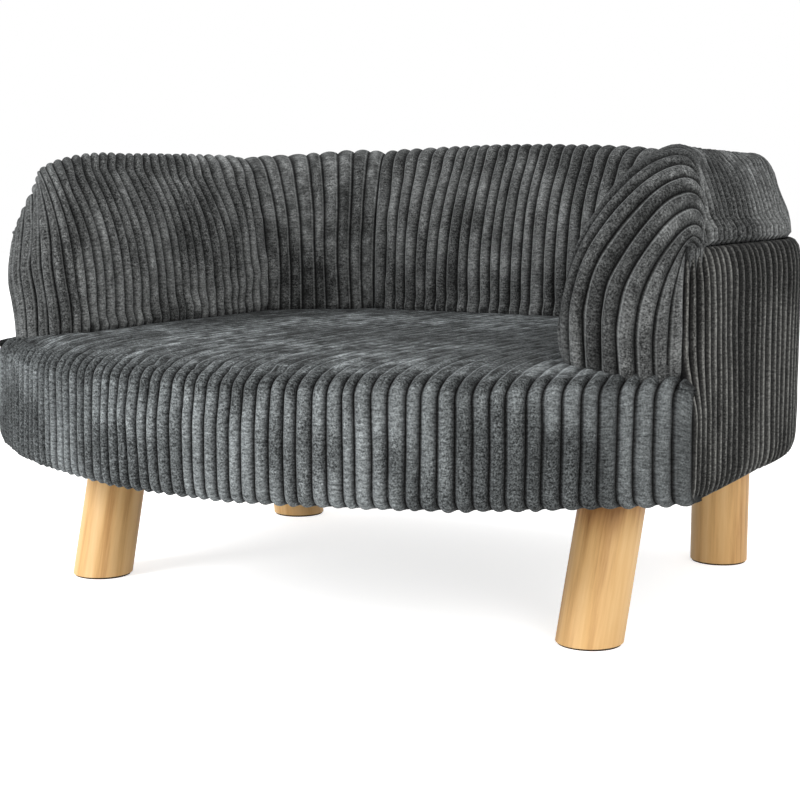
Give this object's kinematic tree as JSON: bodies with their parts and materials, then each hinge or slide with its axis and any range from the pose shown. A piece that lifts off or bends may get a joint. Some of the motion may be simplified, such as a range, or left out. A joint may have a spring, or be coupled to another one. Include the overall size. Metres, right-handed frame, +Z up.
{
  "type": "dog sofa bed",
  "caption": "Raised pet sofa with a bow-fronted padded seat, a rolled padded wall on three sides and raked round wooden legs.",
  "frame": {"origin": "on the floor under the middle of the bed's length and width", "axes": "+Z up from the floor, front of the seat towards -Y, +X to the right when seen from the front, as in the picture"},
  "size_m": [0.559, 0.511, 0.33],
  "materials": {
    "seat_fabric": "wide-rib plush",
    "wall_fabric": "wide-rib plush",
    "panel_fabric": "wide-rib plush",
    "foam": "open-cell foam",
    "wadding": "polyester wadding",
    "bent_board": "raw fibreboard",
    "plywood": "raw plywood",
    "batten_wood": "raw softwood",
    "wall_board": "raw fibreboard",
    "black_cloth": "non-woven cloth",
    "leg_wood": "clear satin",
    "foot_pad": "felt",
    "zinc_steel": "zinc plated"
  },
  "bodies": {
    "root": {"seat_cover": "seat_fabric", "seat_foam": "foam", "band_padding_strip": "wadding", "front_apron": "bent_board", "base_board": "plywood", "deck_board": "plywood", "batten_left": "batten_wood", "batten_middle": "batten_wood", "batten_right": "batten_wood", "arm_board_left": "wall_board", "arm_board_right": "wall_board", "corner_board_left": "wall_board", "corner_board_right": "wall_board", "back_board": "wall_board", "arm_bolster_left": "wall_fabric", "arm_bolster_right": "wall_fabric", "corner_bolster_left": "wall_fabric", "corner_bolster_right": "wall_fabric", "back_bolster": "wall_fabric", "side_panel_left": "panel_fabric", "side_panel_right": "panel_fabric", "rear_panel": "panel_fabric", "dust_cover": "black_cloth", "leg_front_left": "leg_wood", "leg_front_right": "leg_wood", "leg_rear_left": "leg_wood", "leg_rear_right": "leg_wood", "foot_pad_front_left": "foot_pad", "foot_pad_front_right": "foot_pad", "foot_pad_rear_left": "foot_pad", "foot_pad_rear_right": "foot_pad", "leg_bolts": "zinc_steel", "insert_nuts": "zinc_steel"}
  },
  "joints": []
}
